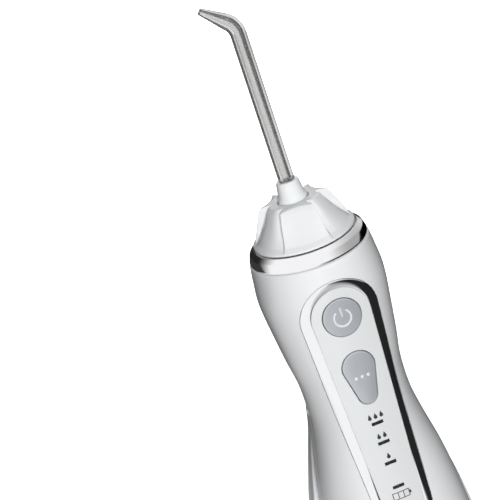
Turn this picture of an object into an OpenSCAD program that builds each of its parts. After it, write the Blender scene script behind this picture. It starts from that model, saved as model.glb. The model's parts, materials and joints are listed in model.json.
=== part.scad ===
// Cordless water flosser: a hand-held oral irrigator with a fixed waterway in the handle, a
// turning nozzle knob, a pull-off jet tip and a water reservoir that comes away from the back.
// Millimetres. +Z runs up the tip axis, the control panel faces -Y, the base stands on z = 0.

/* [Handle] */
// Height of the handle, from the base to the chrome ring
handle_h = 207; // [205:0.5:209]
// Radius of the round neck under the chrome ring
neck_r = 21.2; // [21.1:0.1:21.5]
// Half of the width across the waist that the fingers hold
waist_half = 18.6; // [18.2:0.1:19.2]
// Half of the width at the foot of the handle
foot_half = 29.5; // [28:0.5:31]
// How far the front stands out at the foot
foot_front = 29; // [28:0.5:31]
// Wall thickness of the housing
wall = 2.2; // [1.8:0.1:2.4]

/* [Reservoir] */
// Half of the width of the water reservoir
tank_half = 32; // [31.4:0.2:33]
// How far the reservoir stands out at the back
tank_back = 59.5; // [56:0.5:62]
// Wall thickness of the reservoir
tank_wall = 2; // [1.6:0.1:2.2]

/* [Control panel] */
// Radius of the power button
power_r = 6.8; // [6.4:0.1:7]
// Length between the end centres of the tapered panel
panel_len = 75.5; // [74:0.5:76]
// Radius of the upper end of the chrome bezel
bezel_top_r = 14.2; // [13.9:0.1:14.4]
// Radius of the lower end of the chrome bezel
bezel_low_r = 10.4; // [10:0.1:10.6]
// Travel of the two keys
key_travel = 0.8; // [0.6:0.1:0.9]

/* [Nozzle knob and tip] */
// Number of grip fins round the knob
fin_count = 6; // [4:1:8]
// Radius of the jet tip's tube
tip_r = 2.8; // [2.6:0.1:2.9]
// Height of the straight part of the tip above the ring's lower edge
tip_straight = 78; // [70:1:82]
// Angle between the hooked end and the tube
hook_angle = 49.5; // [40:0.5:55]
// Length of the straight part of the hook
hook_len = 9.8; // [9:0.1:11]

/* [Pump] */
// Throw of the crank pin
crank_throw = 1.5; // [1.2:0.1:1.5]
// Radius of the pump piston
piston_r = 5; // [4.8:0.1:5]
// Teeth of the motor pinion
pinion_teeth = 10; // [10:1:10]
// Teeth of the drive gear
gear_teeth = 30; // [30:1:30]

/* [Hidden] */
$fn = 64;

// Outline tables are [height, value] pairs, joined by a smooth curve.
half_width = [
    [0, foot_half], [47, 28.6], [77, 27.6], [97, 26.3], [112, 24.6], [121.5, 23.1], [132, 20.9],
    [143, 19.0], [151, waist_half], [159, 18.9], [168, 20.3], [178, 21.5], [188, 22.6],
    [193.5, 22.8], [199, 22.3], [203.5, 21.8], [handle_h, neck_r]
];
front_reach = [
    [0, foot_front], [47, 28], [77, 26.6], [97, 25.2], [117, 23.8], [137, 22.6], [157, 22],
    [177, 22.4], [194, 22.8], [203, 21.9], [handle_h, neck_r]
];
back_reach = [
    [145, 19.6], [152, 19.4], [160, 19.5], [172, 20.5], [184, 22], [193.5, 22.8], [200, 22.2],
    [handle_h, neck_r]
];
tank_width = [
    [0, tank_half - 0.4], [30, tank_half], [77, tank_half - 1.2], [92, 29.2], [102, 27.6],
    [112, 25.2], [125, 21.9], [136, 19], [145, 17.4]
];
tank_depth = [
    [0, 57], [17, tank_back], [47, 59], [67, 56], [87, 51], [102, 45], [117, 36], [132, 26],
    [145, 19.2]
];

shell_top = handle_h - 0.8;
shell_low = 3;
shelf_z = 145.2;
back_wall_y = 8;
tank_front_y = back_wall_y + 0.4;
tank_corner = 2.5;
tank_low = 0.8;
tank_top = 144.8;
arc_steps = 18;
ring_step = 9;

// Control panel frame: x across, y up along the panel, z outward from the face.
panel_y = -21.3;
panel_z = 186.2;
panel_lean = 1.7;
panel_curve_r = 40;
inner_top_r = 10.6;
inner_low_r = 7.3;
key_gap = 0.3;
mode_top = -19.2;
mode_low = -30.1;
mode_top_r = 5.8;
mode_low_r = 3.4;
light_rows = [-41.4, -49.2, -57.4, -67.1];
light_w = 4.2;
light_h = 1.2;

// Nozzle axis levels
ring_low = handle_h - 0.6;
ring_top = handle_h + 4.1;
knob_low = ring_top + 0.3;
knob_top = ring_top + 13.8;
ferrule_top = handle_h + 24.8;
hook_start = handle_h + tip_straight;
bend_r = 7;
rotor_r = 6;
stem_r = 3.1;
fin_phase = 51;

// Pump train: motor and gear turn about X, the piston runs along Z.
pump_x = 3.1;
pump_y = -4.5;
motor_z = 106;
gear_module = 0.5;
gear_z = motor_z + gear_module * (pinion_teeth + gear_teeth) / 2;
cylinder_low = 128;
head_low = 143;
head_top = 151;
inlet_x = -9;
port_z = 132;

// Fill door frame: x across, y down the slope, z outward.
door_y = 41;
door_z = 110;
door_tilt = -58;
hinge_y = -13.2;
hinge_out = 2.6;

function segment(t, z, i = 0) = (i >= len(t) - 2 || z < t[i + 1][0]) ? i : segment(t, z, i + 1);
function slope(t, i) =
    let (a = max(i - 1, 0), b = min(i + 1, len(t) - 1))
    (t[b][1] - t[a][1]) / (t[b][0] - t[a][0]);
function smooth(t, z) =
    let (
        i = segment(t, z),
        span = t[i + 1][0] - t[i][0],
        u = min(1, max(0, (z - t[i][0]) / span))
    )
    t[i][1] * (2 * u * u * u - 3 * u * u + 1)
    + slope(t, i) * span * (u * u * u - 2 * u * u + u)
    + t[i + 1][1] * (3 * u * u - 2 * u * u * u)
    + slope(t, i + 1) * span * (u * u * u - u * u);

function power(v, n) = sign(v) * pow(abs(v), 2 / n);
// A point of an oval section whose front and back halves differ
function oval(a, half, front, back, n_front, n_back, cy = 0) =
    let (n = a > 180 ? n_front : n_back, reach = a > 180 ? front : back)
    [half * power(cos(a), n), cy + reach * power(sin(a), n)];

function fullness(z) = 2 + 0.4 * min(1, max(0, (150 - z) / 80));
function handle_point(a, z, inset = 0) =
    oval(a, smooth(half_width, z) - inset, smooth(front_reach, z) - inset,
        smooth(back_reach, z) - inset, fullness(z), 2);
function lower_point(a, z, inset = 0) =
    oval(a, smooth(half_width, z) - inset, smooth(front_reach, z) - inset,
        back_wall_y - inset, fullness(z), 7);
function tank_point(a, z, inset = 0) =
    oval(a, smooth(tank_width, z) - inset, tank_corner,
        smooth(tank_depth, z) - tank_front_y - tank_corner - inset, 4, 2.3,
        tank_front_y + tank_corner + (a > 180 ? inset : 0));
function front_at(x, z) =
    let (n = fullness(z))
    smooth(front_reach, z) * pow(1 - pow(min(1, abs(x) / smooth(half_width, z)), n), 1 / n);
function heights(low, high) =
    let (n = ceil((high - low) / ring_step))
    [for (i = [0 : n]) low + (high - low) * i / n];

// Closed solid through rings of points, each ring anticlockwise from above
module loft(rings) {
    n = len(rings[0]);
    m = len(rings);
    sides = [for (k = [0 : m - 2], i = [0 : n - 1], half = [0 : 1])
        let (a = k * n + i, b = k * n + (i + 1) % n)
        half == 0 ? [a, a + n, b + n] : [a, b + n, b]];
    low = [for (i = [1 : n - 2]) [0, i, i + 1]];
    high = [for (t = low) [for (i = [2 : -1 : 0]) t[i] + (m - 1) * n]];
    polyhedron(points = [for (r = rings) each r], faces = concat(sides, low, high));
}

// Closed solid through rings that are open bands: an outer arc, then the inner arc back
module band_loft(rings) {
    n = len(rings[0]);
    m = len(rings);
    steps = n / 2 - 1;
    sides = [for (k = [0 : m - 2], i = [0 : n - 1], half = [0 : 1])
        let (a = k * n + i, b = k * n + (i + 1) % n)
        half == 0 ? [a, a + n, b + n] : [a, b + n, b]];
    low = [for (i = [0 : steps - 1], half = [0 : 1])
        half == 0 ? [i, i + 1, n - 2 - i] : [i, n - 2 - i, n - 1 - i]];
    high = [for (t = low) [for (i = [2 : -1 : 0]) t[i] + (m - 1) * n]];
    polyhedron(points = [for (r = rings) each r], faces = concat(sides, low, high));
}

function lift(p, z) = [p[0], p[1], z];
function front_band(z) = concat(
    [for (i = [0 : arc_steps]) lift(handle_point(180.001 + 179.998 * i / arc_steps, z), z)],
    [for (i = [arc_steps : -1 : 0])
        lift(handle_point(180.001 + 179.998 * i / arc_steps, z, wall), z)]);
function rear_band(z) = concat(
    [for (i = [0 : arc_steps]) lift(handle_point(180 * i / arc_steps, z), z)],
    [for (i = [arc_steps : -1 : 0]) lift(handle_point(180 * i / arc_steps, z, wall), z)]);
function lower_band(z) = concat(
    [for (i = [0 : arc_steps]) lift(lower_point(180 * i / arc_steps, z), z)],
    [for (i = [arc_steps : -1 : 0]) lift(lower_point(180 * i / arc_steps, z, wall), z)]);
function tank_ring(z, inset) =
    [for (i = [0 : 2 * arc_steps - 1]) lift(tank_point(180 * i / arc_steps, z, inset), z)];

// Tube swept along a route of points
module sweep(route, r, sides) {
    n = len(route);
    function unit(v) = v / norm(v);
    function ahead(i) = unit(route[min(i + 1, n - 1)] - route[max(i - 1, 0)]);
    function across(d) = unit(cross(d, abs(d[1]) < 0.9 ? [0, 1, 0] : [1, 0, 0]));
    rings = [for (i = [0 : n - 1])
        let (d = ahead(i), u = across(d), v = cross(d, u))
        [for (k = [0 : sides - 1])
            route[i] + r * (u * cos(360 * k / sides) + v * sin(360 * k / sides))]];
    loft(rings);
}

// Places things drawn in the panel's frame
module on_panel() translate([0, panel_y, panel_z]) rotate([90 - panel_lean, 0, 0]) children();
// Places things drawn in the fill door's frame
module on_door() translate([0, door_y, door_z]) rotate([door_tilt, 0, 0]) children();
// Turns an upright thing so that it runs along +X, with its x to Y and its y to Z
module along_x() rotate([90, 0, 90]) children();
// Turns an upright thing so that it runs along +Y
module along_y() rotate([-90, 0, 0]) children();

// A round-ended tapered outline from the origin down to -span
module taper_outline(r_top, r_low, span, top = 0) {
    hull() {
        translate([0, top]) circle(r = r_top);
        translate([0, top - span]) circle(r = r_low);
    }
}

module ring_solid(r_in, r_out, z0, z1) {
    translate([0, 0, z0])
        difference() {
            cylinder(r = r_out, h = z1 - z0);
            translate([0, 0, -1]) cylinder(r = r_in, h = z1 - z0 + 2);
        }
}

module oring(ring_r, cord_r, z) translate([0, 0, z]) rotate_extrude() translate([ring_r, 0]) circle(r = cord_r, $fn = 24);

module rounded_plate(size_x, size_y, r, h) {
    linear_extrude(h)
        offset(r = r) square([size_x - 2 * r, size_y - 2 * r], center = true);
}

// Involute gear outline
function roll(c) = tan(c) - c * PI / 180;
function tooth_half(r, teeth) =
    let (rp = gear_module * teeth / 2, rb = rp * cos(25), angle = acos(min(1, rb / max(r, rb))))
    90 / teeth - 0.07 / rp * 180 / PI + (roll(25) - roll(angle)) * 180 / PI;
function gear_outline(teeth) =
    let (
        rp = gear_module * teeth / 2,
        levels = [rp - 1.25 * gear_module, rp * cos(25) + 0.05, rp, rp + 0.9 * gear_module]
    )
    [for (k = [0 : teeth - 1], side = [-1, 1], j = [0 : 3])
        let (r = levels[side < 0 ? j : 3 - j], a = 360 * k / teeth + side * tooth_half(r, teeth))
        r * [cos(a), sin(a)]];

screw_spots = [for (z = [18, 88], x = [-1, 1]) [x * (z < 50 ? 20 : 17.5), z]];

module front_shell() {
    color("white")
        difference() {
            union() {
                band_loft([for (z = heights(shell_low, shell_top)) front_band(z)]);
                for (p = screw_spots)
                    translate([p[0], -19.5, p[1]]) along_y() cylinder(r = 2.8, h = 24.5, $fn = 32);
            }
            on_panel()
                translate([0, 0, -14])
                    linear_extrude(20)
                        taper_outline(bezel_top_r, bezel_low_r, panel_len, panel_start);
            for (p = screw_spots)
                translate([p[0], -12, p[1]]) along_y() cylinder(r = 1.15, h = 20, $fn = 32);
            translate([0, -40, 40])
                along_y() rounded_plate(16, 8, 3.9, 30);
        }
}

module rear_shell() {
    color("white")
        difference() {
            union() {
                band_loft([for (z = heights(shell_low, shelf_z)) lower_band(z)]);
                band_loft([for (z = heights(shelf_z, shell_top)) rear_band(z)]);
                translate([0, 0, shelf_z])
                    linear_extrude(wall)
                        difference() {
                            polygon([for (i = [0 : arc_steps])
                                handle_point(180 * i / arc_steps, shelf_z + 1, 0.8)]);
                            polygon([for (i = [0 : arc_steps])
                                lower_point(180 * i / arc_steps, shelf_z, wall)]);
                        }
            }
            for (p = screw_spots) {
                translate([p[0], 4, p[1]]) along_y() cylinder(r = 1.3, h = 8, $fn = 32);
                translate([p[0], 6.7, p[1]]) along_y() cylinder(r = 2.4, h = 8, $fn = 32);
            }
            translate([inlet_x, 0, port_z]) along_y() cylinder(r = 5.1, h = 12, $fn = 48);
            translate([0, 10, 194]) along_y() cylinder(r = 5.1, h = 20, $fn = 48);
        }
}

module chrome_ring() {
    color("silver")
        rotate_extrude()
            polygon([
                [15, ring_low], [17, ring_low - 0.3], [18.4, ring_low - 0.3], [18.6, ring_low],
                [21, ring_low], [21.15, ring_low + 0.3], [20.3, ring_top - 1.5],
                [18.9, ring_top - 0.1], [18.6, ring_top], [15, ring_top]
            ]);
}

function skin_out(x, y) = panel_y + y * sin(panel_lean) + front_at(x, panel_z + y);
function face_out(x) = sqrt(panel_curve_r * panel_curve_r - x * x) - panel_curve_r;
// A point of the tapered panel outline: top arc, left side, low arc, right side
function taper_point(stretch, f, r1, r2, top, span) =
    let (
        b = asin((r1 - r2) / span),
        a = stretch == 0 ? -b + (180 + 2 * b) * f
            : stretch == 2 ? 180 + b + (180 - 2 * b) * f
            : stretch == 1 ? 180 + b : -b,
        down = stretch == 0 ? 0 : stretch == 1 ? f : stretch == 2 ? 1 : 1 - f,
        r = r1 + (r2 - r1) * down
    )
    [r * cos(a), top - span * down + r * sin(a)];
bezel_steps = [22, 10, 16, 10];
panel_start = -0.1;

module panel_bezel() {
    loop = [for (s = [0 : 3], i = [0 : bezel_steps[s] - 1]) [s, i / bezel_steps[s]]];
    rings = [for (p = loop)
        let (
            o = taper_point(p[0], p[1], bezel_top_r - 0.12, bezel_low_r - 0.12, panel_start, panel_len),
            n = taper_point(p[0], p[1], inner_top_r, inner_low_r, panel_start, panel_len)
        )
        [[o[0], o[1], skin_out(o[0], o[1]) - 2.4], [o[0], o[1], skin_out(o[0], o[1]) + 0.2],
         [n[0], n[1], face_out(n[0]) + 0.35], [n[0], n[1], -2.6]]];
    m = len(rings);
    faces = [for (k = [0 : m - 1], i = [0 : 3], half = [0 : 1])
        let (a = k * 4 + i, b = k * 4 + (i + 1) % 4, c = ((k + 1) % m) * 4 + i,
            d = ((k + 1) % m) * 4 + (i + 1) % 4)
        half == 0 ? [a, b, d] : [a, d, c]];
    color("silver") on_panel() polyhedron(points = [for (r = rings) each r], faces = faces);
}

module light_slots(depth, grow) {
    for (y = light_rows)
        translate([0, y, 0])
            linear_extrude(depth)
                square([light_w + 2 * grow, light_h + 2 * grow], center = true);
}

module control_panel() {
    color("white")
        on_panel()
            difference() {
                intersection() {
                    translate([0, 0, -2.6])
                        linear_extrude(4)
                            taper_outline(inner_top_r - 0.05, inner_low_r - 0.05, panel_len,
                                panel_start);
                    translate([0, -100, -panel_curve_r])
                        along_y() cylinder(r = panel_curve_r, h = 140, $fn = 128);
                }
                translate([0, 0, -5]) cylinder(r = power_r + key_gap, h = 10);
                translate([0, mode_top, -5])
                    linear_extrude(10)
                        taper_outline(mode_top_r + key_gap, mode_low_r + key_gap, mode_top - mode_low);
                translate([0, 0, -5]) light_slots(10, 0.04);
            }
}

module keypad_membrane() {
    color("gainsboro")
        on_panel()
            translate([0, -15, -7.4])
                union() {
                    rounded_plate(15, 46, 3, 0.8);
                    for (y = [15, -9.5])
                        translate([0, y, 0.7]) cylinder(r1 = 3.4, r2 = 2.2, h = 0.7, $fn = 32);
                }
}

module circuit_board() {
    color("darkgreen")
        on_panel()
            translate([0, -34, -10.6])
                difference() {
                    rounded_plate(16, 84, 1.5, 1.6);
                    for (y = [-38, 38], x = [-5.5, 5.5])
                        translate([x, y, -1]) cylinder(r = 1, h = 4, $fn = 24);
                }
}

module tact_switches() {
    color("dimgray")
        on_panel()
            for (y = [0, -24.5])
                translate([0, y, -9]) {
                    translate([-2.6, -2.6, 0]) cube([5.2, 5.2, 1]);
                    cylinder(r = 1.5, h = 1.5, $fn = 24);
                }
}

module indicator_lights() {
    color("black")
        on_panel()
            for (y = light_rows)
                translate([0, y, -8.9]) {
                    linear_extrude(8.92) square([light_w, light_h], center = true);
                    translate([0, 0, 1]) linear_extrude(4) square([light_w + 1.6, 3], center = true);
                }
}

cell_r = 7.1;
cell_low = 40;
cell_len = 49;
module battery_cells() {
    color("steelblue")
        for (x = [-7.6, 7.6])
            translate([x, -6, cell_low])
                union() {
                    cylinder(r = cell_r, h = cell_len);
                    translate([0, 0, cell_len]) cylinder(r = 2.6, h = 1.2, $fn = 32);
                }
}

module battery_leads() {
    color("firebrick")
        for (s = [-1, 1]) {
            rise = [for (k = [0 : 8])
                let (t = k / 8)
                [s * (7.6 + 1.2 * sin(180 * t) - 2.6 * t), -6 - 10.5 * sin(90 * t), 91 + 17.5 * t]];
            sweep(rise, 0.6, 8);
        }
}

module chassis() {
    color("lightgray")
        difference() {
            union() {
                translate([-12, 3.7, 34]) cube([24, 1.6, 108]);
                translate([-15, -13.3, 36.6]) cube([30, 18, 2.8]);
                translate([8.9, -9, 99]) cube([2, 13.5, 24]);
                translate([-5, -11.5, 124.4]) cube([15.9, 16, cylinder_low - 124.4]);
                for (z = [60, 80]) translate([-15.5, 2.2, z]) cube([31, 3, 2]);
            }
            translate([pump_x, pump_y, 120]) cylinder(r = 2.3, h = 12, $fn = 32);
            translate([inlet_x, 0, port_z]) along_y() cylinder(r = 4.3, h = 12, $fn = 48);
            translate([8, pump_y, gear_z]) along_x() cylinder(r = 1.5, h = 6, $fn = 32);
            for (x = [-7.6, 7.6])
                translate([x, -6, cell_low]) cylinder(r = cell_r + 0.2, h = cell_len, $fn = 64);
        }
}

module motor_can() {
    color("silver")
        translate([0, pump_y, motor_z])
            along_x()
                difference() {
                    union() {
                        translate([0, 0, -19])
                            intersection() {
                                cylinder(r = 10, h = 20);
                                translate([-7.7, -11, -1]) cube([15.4, 22, 22]);
                            }
                        cylinder(r = 3, h = 1.5, $fn = 48);
                    }
                    translate([0, 0, -15]) cylinder(r = 1.05, h = 20, $fn = 32);
                }
}

module gear_axle() {
    color("silver") translate([5.9, pump_y, gear_z]) along_x() cylinder(r = 1.5, h = 5.6, $fn = 32);
}

module pump_cylinder() {
    color("whitesmoke")
        translate([pump_x, pump_y, 0])
            difference() {
                union() {
                    translate([0, 0, cylinder_low]) cylinder(r = piston_r + 1.7, h = head_low - cylinder_low);
                    translate([0, 0, cylinder_low]) cylinder(r = piston_r + 2.6, h = 2);
                }
                translate([0, 0, cylinder_low + 1.6])
                    cylinder(r = piston_r + 0.06, h = head_low - cylinder_low);
                translate([0, 0, cylinder_low - 1]) cylinder(r = 2.3, h = 4, $fn = 32);
            }
}

module pump_head() {
    color("whitesmoke")
        difference() {
            union() {
                translate([-1, pump_y + 0.5, head_low])
                    rounded_plate(24, 14, 3, head_top - head_low);
                translate([pump_x, pump_y, head_top]) cylinder(r = 2.6, h = 5, $fn = 32);
            }
            translate([inlet_x, pump_y, head_low - 1]) cylinder(r = 3, h = 6.5, $fn = 32);
            translate([pump_x, pump_y, head_low - 1]) cylinder(r = 3, h = 6.5, $fn = 32);
            translate([pump_x, pump_y, head_low]) cylinder(r = 1.2, h = 15, $fn = 32);
            translate([inlet_x, pump_y, head_low + 6.2])
                along_x() cylinder(r = 0.9, h = pump_x - inlet_x, $fn = 24);
        }
}

module duckbill(x) {
    translate([x, pump_y, head_low + 0.3]) {
        cylinder(r = 2.9, h = 1.2, $fn = 32);
        translate([0, 0, 1.2]) cylinder(r1 = 2.2, r2 = 0.7, h = 3.4, $fn = 32);
    }
}
module inlet_valve() { color("darkorange") duckbill(inlet_x); }
module outlet_valve() { color("darkorange") duckbill(pump_x); }

module suction_tube() {
    bend = 4;
    color("lightcyan") {
        difference() {
            union() {
                translate([inlet_x, pump_y, port_z + bend])
                    cylinder(r = 2.2, h = head_low - port_z - bend, $fn = 32);
                translate([inlet_x, pump_y + bend, port_z + bend])
                    rotate([0, -90, 0])
                        rotate([0, 0, 180])
                            rotate_extrude(angle = 90) translate([bend, 0]) circle(r = 2.2, $fn = 32);
                translate([inlet_x, pump_y + bend, port_z])
                    along_y() cylinder(r = 2.2, h = 4, $fn = 32);
            }
            translate([inlet_x, pump_y, port_z + bend]) cylinder(r = 1.3, h = 20, $fn = 32);
        }
    }
}

module outlet_hose() {
    from_z = head_top + 1;
    rise = nozzle_low - from_z;
    route = [for (k = [0 : 8])
        let (t = k / 8, ease = t * t * (3 - 2 * t))
        [pump_x * (1 - ease), pump_y * (1 - ease), from_z + 4.2 + (rise - 4.4) * t]];
    color("lightcyan") sweep(route, 2.3, 12);
}

nozzle_low = 177;
module nozzle_seat() {
    color("whitesmoke")
        difference() {
            union() {
                translate([0, 0, nozzle_low]) cylinder(r = 3, h = 6, $fn = 48);
                translate([0, 0, nozzle_low + 4]) cylinder(r = 9.2, h = 24);
                translate([0, 0, handle_h - 3.6]) cylinder(r = 18.9, h = 2.4);
            }
            translate([0, 0, nozzle_low + 8]) cylinder(r = rotor_r + 0.06, h = 40);
            translate([0, 0, nozzle_low - 1]) cylinder(r = 1.3, h = 12, $fn = 32);
            translate([0, 0, handle_h - 7.8]) cylinder(r = rotor_r + 0.9, h = 1.6);
        }
}

module port_spigot() {
    color("whitesmoke")
        translate([inlet_x, 0, port_z])
            along_y()
                difference() {
                    union() {
                        translate([0, 0, 3.8]) cylinder(r = 4.2, h = 2);
                        translate([0, 0, 5.8]) cylinder(r = 5, h = 2.2);
                        translate([0, 0, 8]) cylinder(r = 3, h = 5.2);
                    }
                    translate([0, 0, 3]) cylinder(r = 1.5, h = 14, $fn = 32);
                }
}

module charge_port() {
    color("gray")
        translate([0, -28.4, 40])
            along_y()
                difference() {
                    rounded_plate(15.8, 7.8, 3.8, 3.4);
                    translate([0, 0, -0.1]) rounded_plate(13.4, 5.4, 2.6, 1.1);
                    for (x = [-3.6, 3.6]) translate([x, 0, -1]) cylinder(r = 1.5, h = 8, $fn = 32);
                }
}

module charging_contacts() {
    color("gold")
        for (x = [-3.6, 3.6])
            translate([x, -27.6, 40])
                along_y()
                    union() {
                        cylinder(r = 1.45, h = 3.6, $fn = 32);
                        translate([0, 0, 2.7]) cylinder(r = 2.2, h = 0.9, $fn = 32);
                    }
}

module housing_screws() {
    color("silver")
        for (p = screw_spots)
            translate([p[0], 0, p[1]])
                along_y()
                    difference() {
                        union() {
                            translate([0, 0, -9]) cylinder(r = 1.1, h = 15.8, $fn = 32);
                            translate([0, 0, 6.7]) cylinder(r = 2.2, h = 1.1, $fn = 32);
                        }
                        translate([-1.4, -0.25, 7.3]) cube([2.8, 0.5, 1]);
                        translate([-0.25, -1.4, 7.3]) cube([0.5, 2.8, 1]);
                    }
}

module base_outline(inset) {
    polygon(concat(
        [for (i = [0 : arc_steps]) lower_point(180 * i / arc_steps, 2, inset)],
        [for (i = [1 : arc_steps - 1]) handle_point(180 + 180 * i / arc_steps, 2, inset)]));
}

module base_cap() {
    color("white") {
        translate([0, 0, 1.1]) linear_extrude(shell_low - 1.15) base_outline(0.6);
        translate([0, 0, shell_low - 0.1]) linear_extrude(2.6) base_outline(wall + 0.4);
    }
}

module foot_pad() { color("dimgray") linear_extrude(1.1) base_outline(3.2); }

module rotator_knob() {
    color("white")
        difference() {
            union() {
                rotate_extrude()
                    polygon([
                        [7, knob_low], [17.9, knob_low], [18.15, knob_low + 0.3],
                        [18.1, knob_low + 0.9], [16.5, knob_low + 2.2], [14.9, knob_low + 4.5],
                        [12.4, knob_low + 8.3], [10.2, knob_low + 12], [9, knob_top - 0.3], [8.5, knob_top], [3, knob_top], [3, knob_top - 5]
                    ]);
                for (k = [0 : fin_count - 1])
                    rotate([0, 0, fin_phase + 360 * k / fin_count])
                        translate([0, 1.15, 0])
                            rotate([90, 0, 0])
                                linear_extrude(2.3)
                                    polygon([
                                        [7.2, knob_low + 2], [16.4, knob_low + 1.9],
                                        [16.2, knob_low + 3.6], [15.6, knob_low + 5.2],
                                        [14.2, knob_low + 8.8], [12.9, knob_low + 11.6],
                                        [12, knob_top - 0.4], [7.2, knob_top - 0.1]
                                    ]);
            }
            translate([0, 0, knob_low - 1]) cylinder(r = 5.6, h = 40);
            difference() {
                rotate_extrude()
                    polygon([
                        [9.5, knob_low - 1], [15.8, knob_low - 1], [14.4, knob_low + 2],
                        [12.6, knob_low + 4.4], [9.5, knob_low + 7]
                    ]);
                for (k = [0 : 2])
                    rotate([0, 0, 60 * k]) translate([-17, -0.8, knob_low - 2]) cube([34, 1.6, 12]);
            }
        }
}

module knob_rotor() {
    color("whitesmoke")
        difference() {
            union() {
                translate([0, 0, nozzle_low + 9]) cylinder(r = rotor_r, h = ring_top - nozzle_low - 9);
                translate([0, 0, handle_h - 7.4]) cylinder(r = rotor_r + 0.5, h = 0.8);
                translate([0, 0, knob_low - 5]) cylinder(r = 5.5, h = 13);
            }
            translate([0, 0, nozzle_low]) cylinder(r = stem_r + 0.06, h = 60);
            ring_solid(4.5, 8, nozzle_low + 12.9, nozzle_low + 14.7);
        }
}

module rotor_oring() { color("black") oring(5.3, 0.7, nozzle_low + 13.8); }

module tip_ferrule() {
    color("white")
        rotate_extrude()
            polygon([
                [1.25, nozzle_low + 12], [2.7, nozzle_low + 12], [stem_r, nozzle_low + 13],
                [stem_r, nozzle_low + 16.9], [2.4, nozzle_low + 16.9], [2.4, nozzle_low + 18.5],
                [stem_r, nozzle_low + 18.5], [stem_r, knob_low + 8.3], [4.6, knob_low + 8.3],
                [5.2, knob_low + 9], [5.2, knob_top + 0.4], [4.7, knob_top + 2],
                [4, ferrule_top - 1], [3.7, ferrule_top], [tip_r, ferrule_top],
                [tip_r, knob_top - 2], [1.25, knob_top - 2]
            ]);
}

module tip_shank() {
    color("lightgray") {
        difference() {
            translate([0, 0, knob_top - 1.95]) cylinder(r = tip_r, h = hook_start - knob_top + 1.95);
            translate([0, 0, knob_top - 3]) cylinder(r = 1.25, h = hook_start - knob_top + 4, $fn = 32);
        }
        translate([-bend_r, 0, hook_start])
            rotate([90, 0, 0])
                rotate_extrude(angle = hook_angle)
                    translate([bend_r, 0])
                        difference() {
                            circle(r = tip_r);
                            circle(r = 1.25, $fn = 32);
                        }
        translate([-bend_r, 0, hook_start])
            rotate([0, -hook_angle, 0])
                translate([bend_r, 0, 0])
                    difference() {
                        cylinder(r1 = tip_r, r2 = 1.2, h = hook_len);
                        translate([0, 0, -0.01])
                            cylinder(r1 = 1.25, r2 = 0.5, h = hook_len + 0.02, $fn = 32);
                    }
    }
}

module tip_oring() { color("black") oring(2.75, 0.35, nozzle_low + 17.7); }

module power_button() {
    face = 0.3;
    color("silver")
        on_panel()
            union() {
                translate([0, 0, -2.9]) cylinder(r = power_r, h = face + 2.9);
                translate([0, 0, -3.6]) cylinder(r = power_r + 0.8, h = 0.75);
                translate([0, 0, -4.6]) cylinder(r = 1.6, h = 1.1, $fn = 32);
                translate([0, 0, face - 0.1])
                    rotate([0, 0, 125])
                        rotate_extrude(angle = 290)
                            translate([2.4, 0]) square([0.55, 0.3]);
                translate([-0.27, 1, face - 0.1]) cube([0.54, 2.8, 0.3]);
            }
}

module mode_button() {
    span = mode_top - mode_low;
    color("silver")
        on_panel()
            translate([0, mode_top, 0])
                union() {
                    translate([0, 0, -2.9])
                        linear_extrude(3.2) taper_outline(mode_top_r, mode_low_r, span);
                    translate([0, 0, -3.6])
                        linear_extrude(0.75) taper_outline(mode_top_r + 0.8, mode_low_r + 0.8, span);
                    translate([0, -4.5, -4.6]) cylinder(r = 1.6, h = 1.1, $fn = 32);
                    for (k = [-1 : 1])
                        translate([2.4 * k, -4, 0.2]) cylinder(r = 0.6, h = 0.3, $fn = 24);
                }
}

eject_z = 194;
module eject_button() {
    color("lightsteelblue")
        translate([0, 0, eject_z])
            along_y()
                union() {
                    translate([0, 0, 17]) cylinder(r = 4.8, h = 6.6);
                    translate([0, 0, 23.6]) cylinder(r1 = 4.8, r2 = 4.2, h = 0.5);
                    translate([0, 0, 17]) cylinder(r = 5.6, h = 1.2);
                }
}

module eject_spring() {
    turns = 4;
    spot = 12;
    coil = [for (k = [0 : turns * spot])
        let (a = 360 * k / spot)
        [2.6 * cos(a), 9.7 + 0.4 + 6.4 * k / (turns * spot), eject_z + 2.6 * sin(a)]];
    color("silver") sweep(coil, 0.35, 6);
}

module motor_shaft() {
    color("gray") translate([-14, pump_y, motor_z]) along_x() cylinder(r = 1, h = 22.7, $fn = 32);
}

module motor_pinion() {
    color("goldenrod")
        translate([4.7, pump_y, motor_z])
            along_x()
                difference() {
                    rotate([0, 0, 18]) linear_extrude(3.9) polygon(gear_outline(pinion_teeth));
                    translate([0, 0, -1]) cylinder(r = 1, h = 6, $fn = 32);
                }
}

module drive_gear() {
    color("whitesmoke")
        translate([4.8, pump_y, gear_z])
            along_x()
                difference() {
                    linear_extrude(3.6) polygon(gear_outline(gear_teeth));
                    translate([0, 0, 1]) cylinder(r = 1.55, h = 6, $fn = 32);
                    translate([crank_throw, 0, -1]) cylinder(r = 1.24, h = 1.8, $fn = 32);
                    difference() {
                        translate([0, 0, 2.2]) cylinder(r = 6, h = 3);
                        translate([0, 0, 2]) cylinder(r = 3, h = 4);
                    }
                }
}

module crank_pin() {
    color("silver")
        translate([1.9, pump_y + crank_throw, gear_z]) along_x() cylinder(r = 1.24, h = 3.7, $fn = 32);
}

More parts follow.
